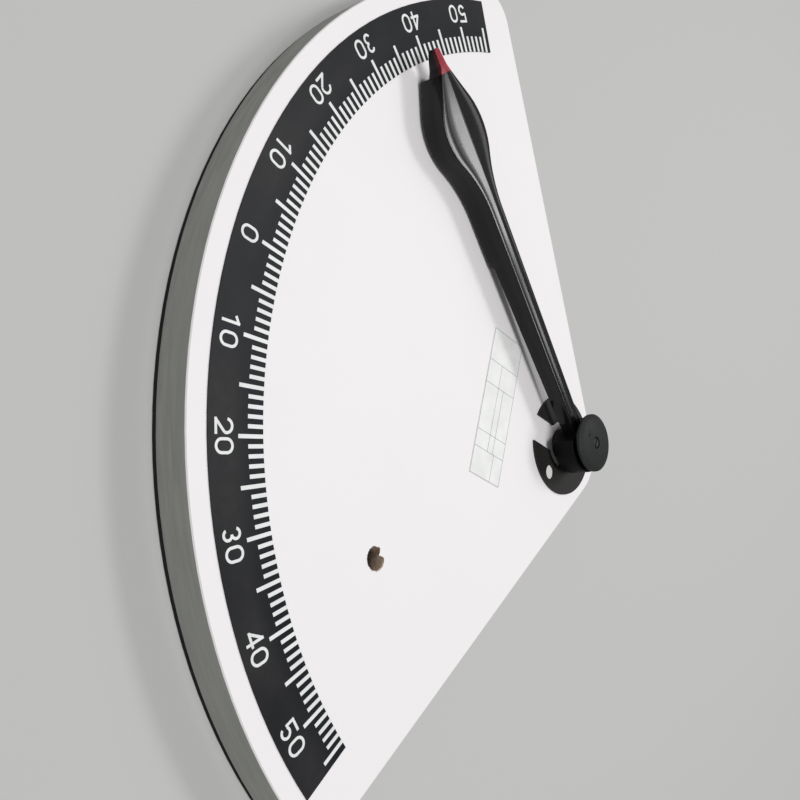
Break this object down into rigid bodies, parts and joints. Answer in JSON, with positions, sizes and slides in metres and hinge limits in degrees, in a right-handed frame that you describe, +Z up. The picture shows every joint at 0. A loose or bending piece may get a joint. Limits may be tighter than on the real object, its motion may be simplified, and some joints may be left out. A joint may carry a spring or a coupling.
{
  "type": "pendulum inclinometer",
  "caption": "Wall-mounted pendulum inclinometer: white sector board, black degree arc, and a weighted black pointer with a red tip swinging from a capped pivot.",
  "frame": {"origin": "midway between the two mounting holes, on the board's back face", "axes": "+X to the reader's right, +Z up, +Y into the wall; the scale faces -Y"},
  "size_m": [0.3398, 0.0331, 0.2281],
  "materials": {
    "white_board": "satin white paint on fibreboard",
    "black_band": "semi-matt black laminate",
    "white_marking": "white filled marking",
    "label_paper": "matt white label stock",
    "black_moulding": "fine matt black moulding",
    "pointer_plastic": "gloss black moulding",
    "cap_plastic": "satin dark grey moulding",
    "red_tip": "red paint",
    "steel": "turned",
    "zinc_steel": "zinc plated",
    "black_steel": "blackened",
    "brass": "turned",
    "nylon": "natural nylon"
  },
  "bodies": {
    "face": {"board": "white_board", "scale_band": "black_band", "scale_ticks": "white_marking", "scale_numerals": "white_marking", "rating_label": "label_paper", "pivot_foot": "black_moulding", "pivot_stud": "steel", "rear_washer": "zinc_steel", "lock_washer": "zinc_steel", "rear_nut": "zinc_steel", "rear_thrust_washer": "nylon", "front_thrust_washer": "nylon", "front_nut": "zinc_steel", "pivot_cap": "cap_plastic", "cap_screw": "black_steel"},
    "pointer": {"pointer_arm": "pointer_plastic", "pointer_tip": "red_tip", "hub_bush": "brass", "pointer_ballast": "steel", "ballast_screws": "zinc_steel"}
  },
  "joints": [
    {"name": "pointer_swing", "type": "hinge", "parent": "face", "child": "pointer", "pos_m": [0, -0.0235, 0.1], "axis": [0, -1, 0], "continuous": true}
  ]
}
